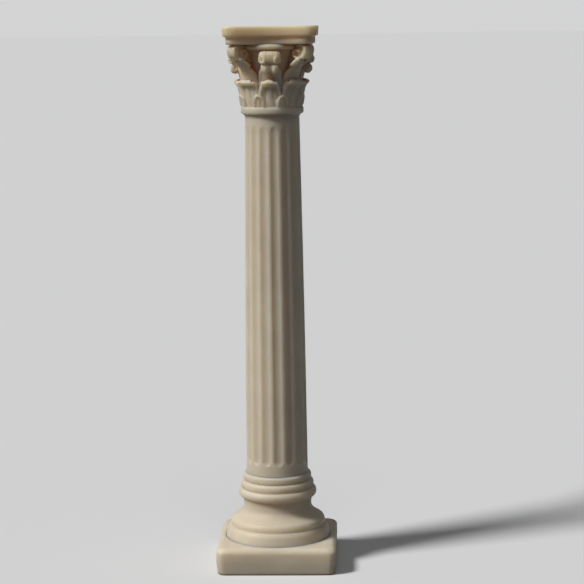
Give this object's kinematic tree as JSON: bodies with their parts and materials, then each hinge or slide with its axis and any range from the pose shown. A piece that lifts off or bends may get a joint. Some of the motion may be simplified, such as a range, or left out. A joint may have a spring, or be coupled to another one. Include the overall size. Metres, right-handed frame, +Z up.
{
  "type": "resin column",
  "caption": "Miniature column cast in cream resin: square plinth, moulded base, fluted shaft and leafed capital with corner volutes under a hollow-sided abacus.",
  "frame": {"origin": "middle of the plinth's underside, on the surface that the column stands on", "axes": "+Z up along the shaft, -Y the front face of the plinth, +X to the right seen from the front"},
  "size_m": [0.0324, 0.0324, 0.1462],
  "materials": {
    "cast_resin": "satin cream casting resin, slightly translucent, with faint mottling and darker hollows"
  },
  "bodies": {
    "root": {"resin_column": "cast_resin"}
  },
  "joints": []
}
